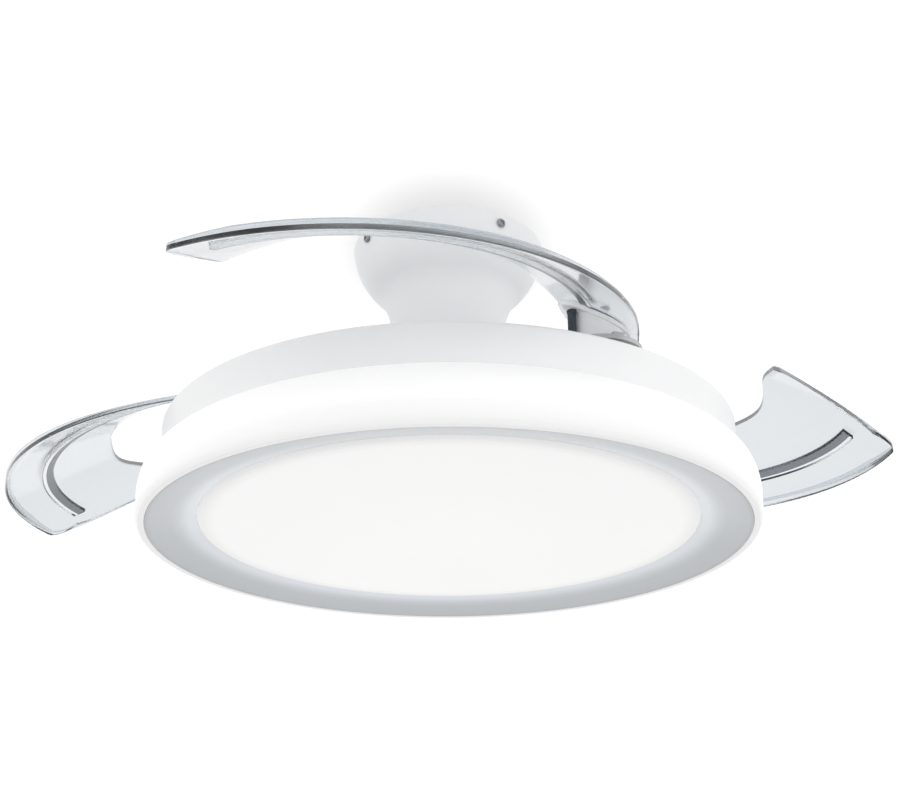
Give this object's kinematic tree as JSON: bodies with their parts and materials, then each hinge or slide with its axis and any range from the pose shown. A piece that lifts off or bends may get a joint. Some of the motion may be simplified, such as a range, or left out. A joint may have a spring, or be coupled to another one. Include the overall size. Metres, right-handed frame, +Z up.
{
  "type": "ceiling_fan",
  "caption": "Ceiling fan with folding clear blades above a white drum lamp, hung from a bell canopy; blades swing out as it spins",
  "frame": {"origin": "centre of the bracket's top face, which meets the ceiling", "axes": "+Z up into the ceiling, -Y towards the side the picture shows; the spindle is the Z axis"},
  "size_m": [0.8002, 0.6177, 0.268],
  "materials": {
    "white_paint": "satin white paint",
    "white_plastic": "smooth white plastic",
    "clear_plastic": "clear blade plastic, polished",
    "opal_plastic": "opal diffuser, lit from behind",
    "grey_trim": "smooth pale grey",
    "galvanised": "galvanised sheet",
    "bright_steel": "polished steel",
    "cast_aluminium": "as cast",
    "black_rubber": "matte rubber",
    "spring_steel": "drawn wire",
    "laminations": "stacked sheet",
    "copper_enamel": "enamelled copper wire",
    "magnet_grey": "sintered magnet",
    "box_plastic": "moulded plastic",
    "board_white": "white circuit board"
  },
  "bodies": {
    "fixed": {"ceiling_bracket": "galvanised", "hanger_tube": "galvanised", "hanger_cross_pin": "bright_steel", "receiver_box": "box_plastic", "terminal_block": "box_plastic", "canopy": "white_paint", "canopy_screw_1": "bright_steel", "canopy_screw_2": "bright_steel", "canopy_screw_3": "bright_steel", "canopy_screw_4": "bright_steel", "hollow_shaft": "bright_steel", "shaft_nut": "bright_steel", "stator_core": "laminations", "stator_winding": "copper_enamel", "upper_bearing_inner_race": "bright_steel", "lower_bearing_inner_race": "bright_steel", "drum_shell": "white_plastic", "light_pan": "white_paint", "led_driver": "box_plastic", "main_led_board": "board_white", "ring_led_strip": "board_white", "glow_ring": "opal_plastic", "inner_trim": "grey_trim", "diffuser": "opal_plastic", "pan_screw_1": "bright_steel", "pan_screw_2": "bright_steel", "pan_screw_3": "bright_steel"},
    "rotor": {"rotor_housing": "cast_aluminium", "rotor_cover": "cast_aluminium", "magnet_ring": "magnet_grey", "upper_bearing_outer_race": "bright_steel", "lower_bearing_outer_race": "bright_steel", "blade_disc": "cast_aluminium", "disc_screw_1": "bright_steel", "disc_screw_2": "bright_steel", "disc_screw_3": "bright_steel", "hinge_post_1": "bright_steel", "hinge_post_2": "bright_steel", "hinge_post_3": "bright_steel", "hinge_cap_1": "white_plastic", "hinge_cap_2": "white_plastic", "hinge_cap_3": "white_plastic", "return_spring_1": "spring_steel", "return_spring_2": "spring_steel", "return_spring_3": "spring_steel"},
    "swing_blade_1": {"blade_1": "clear_plastic", "blade_hub_1": "white_plastic", "upper_clamp_1": "white_plastic", "clamp_screw_1": "bright_steel", "stop_pin_1": "black_rubber"},
    "swing_blade_2": {"blade_2": "clear_plastic", "blade_hub_2": "white_plastic", "upper_clamp_2": "white_plastic", "clamp_screw_2": "bright_steel", "stop_pin_2": "black_rubber"},
    "swing_blade_3": {"blade_3": "clear_plastic", "blade_hub_3": "white_plastic", "upper_clamp_3": "white_plastic", "clamp_screw_3": "bright_steel", "stop_pin_3": "black_rubber"}
  },
  "joints": [
    {"name": "rotor_spin", "type": "hinge", "parent": "fixed", "child": "rotor", "pos_m": [0, 0, -0.143], "axis": [0, 0, 1], "continuous": true},
    {"name": "blade_1_hinge", "type": "hinge", "parent": "rotor", "child": "swing_blade_1", "pos_m": [0.11415, -0.15314, -0.15], "axis": [0, 0, 1], "range_deg": [-38, 57], "stiffness_Nm_per_rad": 0.2},
    {"name": "blade_2_hinge", "type": "hinge", "parent": "rotor", "child": "swing_blade_2", "pos_m": [0.07555, 0.17542, -0.15], "axis": [0, 0, 1], "range_deg": [-39.9, 55.1], "stiffness_Nm_per_rad": 0.2},
    {"name": "blade_3_hinge", "type": "hinge", "parent": "rotor", "child": "swing_blade_3", "pos_m": [-0.1897, -0.02228, -0.15], "axis": [0, 0, 1], "range_deg": [-73.8, 21.2], "stiffness_Nm_per_rad": 0.2}
  ]
}
